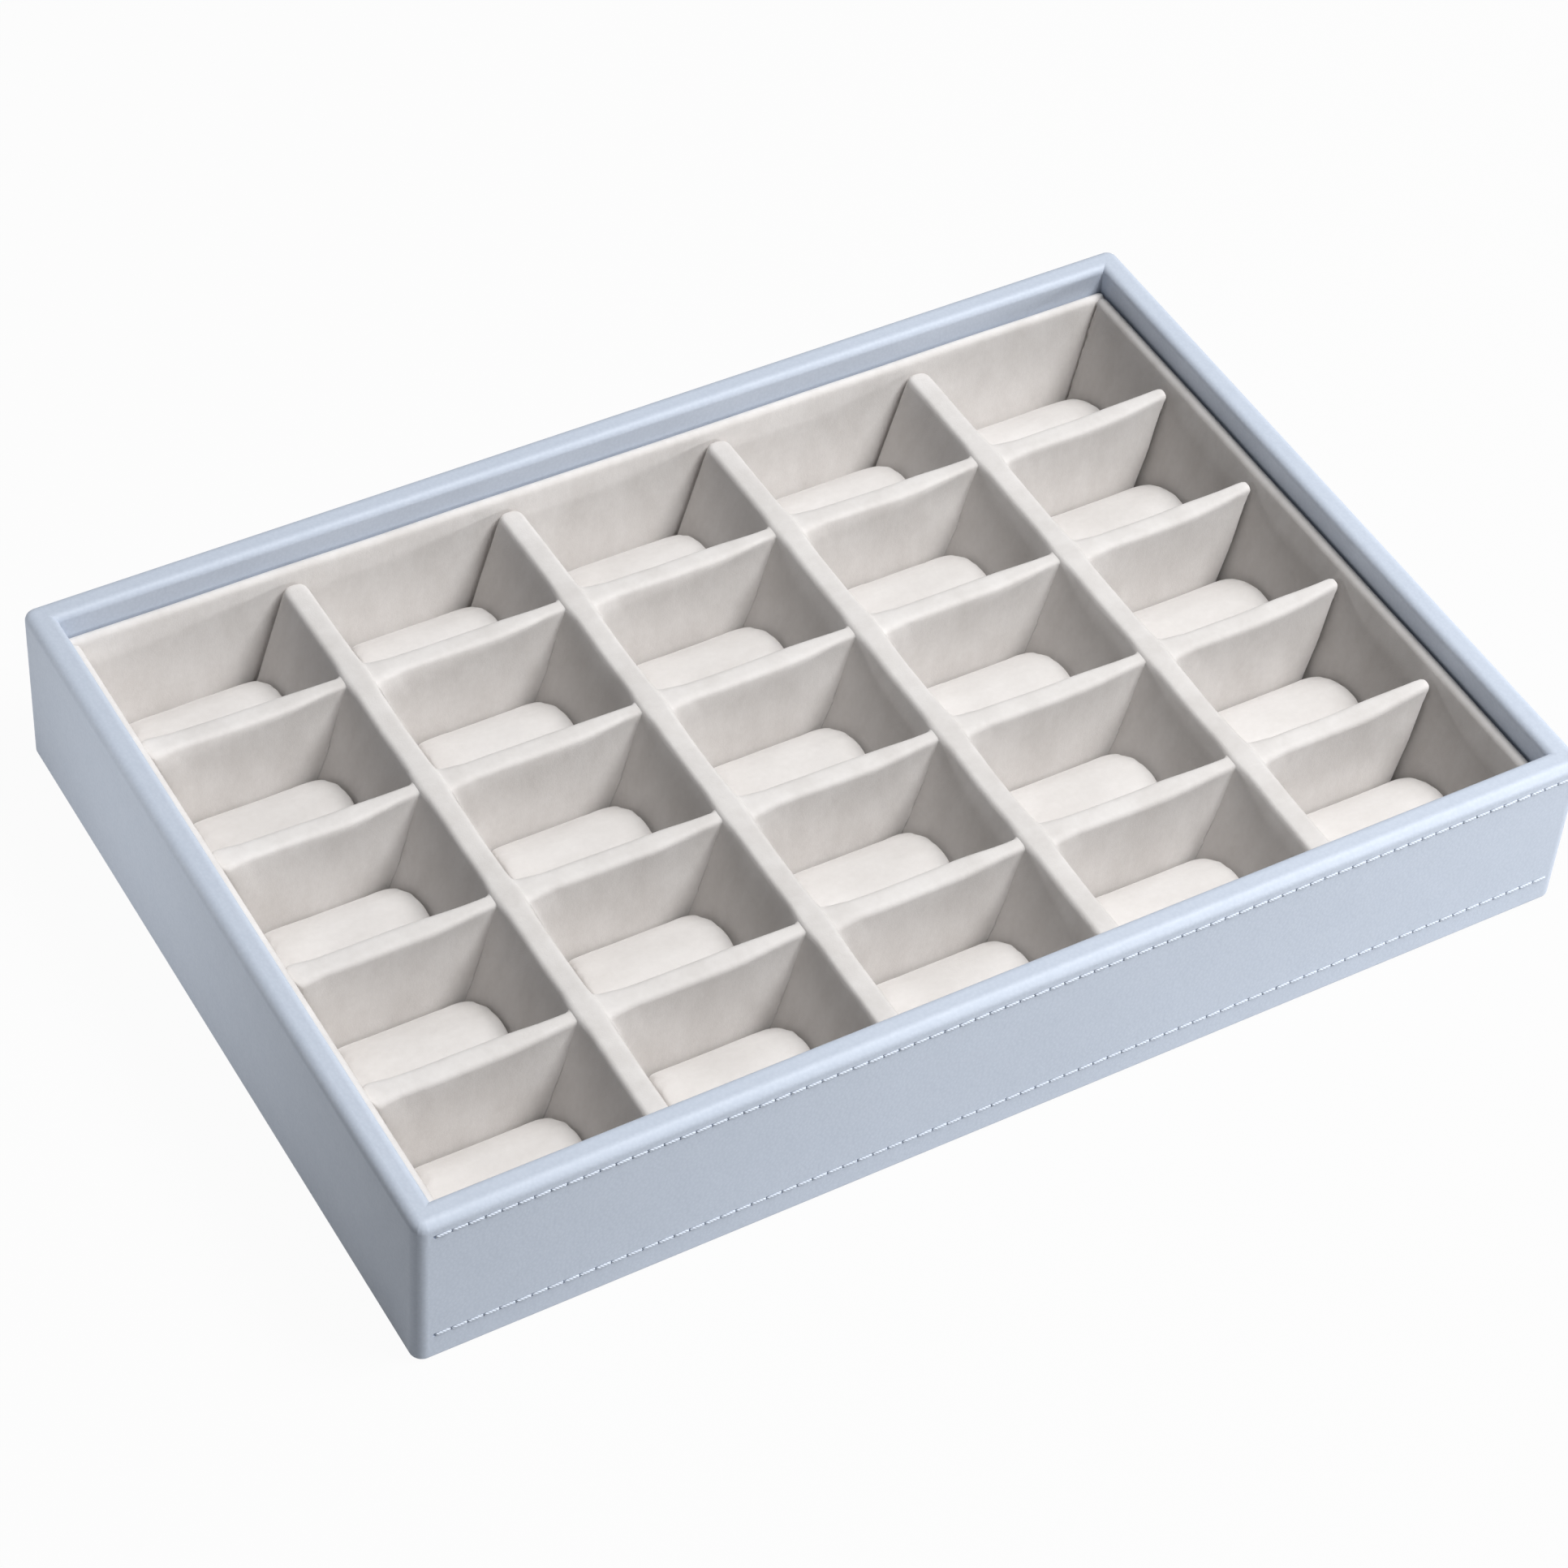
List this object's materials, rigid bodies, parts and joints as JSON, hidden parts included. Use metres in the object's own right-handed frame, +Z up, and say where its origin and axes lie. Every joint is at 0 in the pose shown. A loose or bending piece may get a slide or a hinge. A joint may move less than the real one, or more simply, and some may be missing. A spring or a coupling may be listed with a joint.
{
  "type": "jewelry tray",
  "caption": "Open rectangular jewelry tray with a leatherette-covered box and a velvet insert of square cells, each with a padded roll for rings.",
  "frame": {"origin": "middle of the underside, on the plane that the tray stands on", "axes": "+X right along the long side, +Y from the stitched front to the back, +Z up out of the open top"},
  "size_m": [0.25, 0.17, 0.038],
  "materials": {
    "leatherette": "pale blue-grey fine-grained leatherette, satin",
    "thread": "pale twisted thread",
    "velvet_insert": "warm light grey velvet, matt",
    "velvet_rolls": "warm light grey velvet over soft padding, matt",
    "board": "fibreboard, hidden inside the wraps",
    "felt": "light grey felt panel under the base"
  },
  "bodies": {
    "root": {"underside_cover": "felt", "base_board": "board", "front_wall_core": "board", "back_wall_core": "board", "left_wall_core": "board", "right_wall_core": "board", "front_leatherette": "leatherette", "back_leatherette": "leatherette", "left_leatherette": "leatherette", "right_leatherette": "leatherette", "upper_stitches": "thread", "lower_stitches": "thread", "insert_floor": "velvet_insert", "front_lining": "velvet_insert", "back_lining": "velvet_insert", "left_lining": "velvet_insert", "right_lining": "velvet_insert", "short_divider_1": "velvet_insert", "short_divider_2": "velvet_insert", "short_divider_3": "velvet_insert", "short_divider_4": "velvet_insert", "long_divider_1": "velvet_insert", "long_divider_2": "velvet_insert", "long_divider_3": "velvet_insert", "long_divider_4": "velvet_insert", "ring_roll_1_1": "velvet_rolls", "ring_roll_1_2": "velvet_rolls", "ring_roll_1_3": "velvet_rolls", "ring_roll_1_4": "velvet_rolls", "ring_roll_1_5": "velvet_rolls", "ring_roll_2_1": "velvet_rolls", "ring_roll_2_2": "velvet_rolls", "ring_roll_2_3": "velvet_rolls", "ring_roll_2_4": "velvet_rolls", "ring_roll_2_5": "velvet_rolls", "ring_roll_3_1": "velvet_rolls", "ring_roll_3_2": "velvet_rolls", "ring_roll_3_3": "velvet_rolls", "ring_roll_3_4": "velvet_rolls", "ring_roll_3_5": "velvet_rolls", "ring_roll_4_1": "velvet_rolls", "ring_roll_4_2": "velvet_rolls", "ring_roll_4_3": "velvet_rolls", "ring_roll_4_4": "velvet_rolls", "ring_roll_4_5": "velvet_rolls", "ring_roll_5_1": "velvet_rolls", "ring_roll_5_2": "velvet_rolls", "ring_roll_5_3": "velvet_rolls", "ring_roll_5_4": "velvet_rolls", "ring_roll_5_5": "velvet_rolls"}
  },
  "joints": []
}
